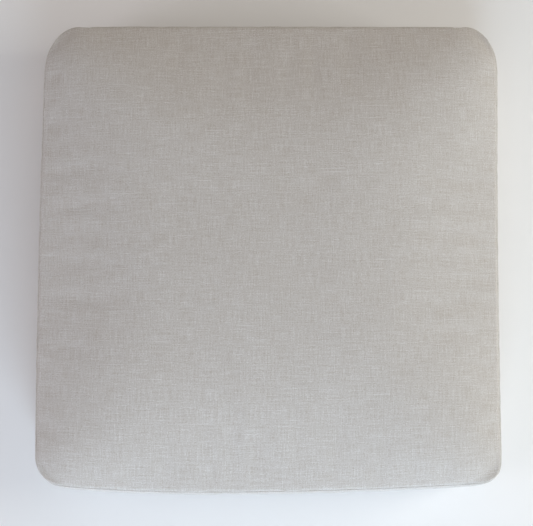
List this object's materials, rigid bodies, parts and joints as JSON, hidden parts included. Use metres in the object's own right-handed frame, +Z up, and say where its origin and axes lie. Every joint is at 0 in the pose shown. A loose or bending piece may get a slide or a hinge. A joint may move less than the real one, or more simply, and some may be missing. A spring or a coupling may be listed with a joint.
{
  "type": "floor cushion",
  "caption": "Boxed square floor cushion with a crowned top, a removable zipped cloth cover and a foam and wadding insert.",
  "frame": {"origin": "on the floor, under the middle of the cushion", "axes": "+X to the cushion's right, +Y to its back, where the zip is, +Z up"},
  "size_m": [0.6, 0.6049, 0.15],
  "materials": {
    "cover_cloth": "slubby plain-weave linen blend, matt, natural greige with small brown flecks",
    "zip_tape_cloth": "fine woven polyester tape, matt",
    "zip_coil_nylon": "nylon monofilament coil, satin",
    "zip_metal": "die-cast metal, nickel plated, satin",
    "liner_calico": "unbleached calico, matt",
    "wadding_fleece": "bonded polyester wadding, fluffy",
    "core_foam": "open-cell upholstery foam, cut surface",
    "label_satin": "woven satin label, blank"
  },
  "bodies": {
    "cushion": {"top_panel": "cover_cloth", "bottom_panel": "cover_cloth", "main_boxing": "cover_cloth", "zip_boxing_upper": "cover_cloth", "zip_boxing_lower": "cover_cloth", "zip_tape_upper": "zip_tape_cloth", "zip_tape_lower": "zip_tape_cloth", "zip_coil_upper": "zip_coil_nylon", "zip_coil_lower": "zip_coil_nylon", "zip_top_stop_upper": "zip_metal", "zip_top_stop_lower": "zip_metal", "zip_bottom_stop": "zip_metal", "care_label": "label_satin", "liner_upper": "liner_calico", "liner_lower": "liner_calico", "wadding_top": "wadding_fleece", "wadding_bottom": "wadding_fleece", "foam_core": "core_foam"},
    "slider": {"zip_slider": "zip_metal"},
    "pull_tab": {"zip_pull_tab": "zip_metal"}
  },
  "joints": [
    {"name": "slider_run", "type": "slide", "parent": "cushion", "child": "slider", "axis": [-1, 0, 0], "range_m": [0, 0.454]},
    {"name": "pull_tab_swing", "type": "hinge", "parent": "slider", "child": "pull_tab", "pos_m": [0.227, 0.3031, 0.065], "axis": [0, 0, -1], "range_deg": [0, 180]}
  ]
}
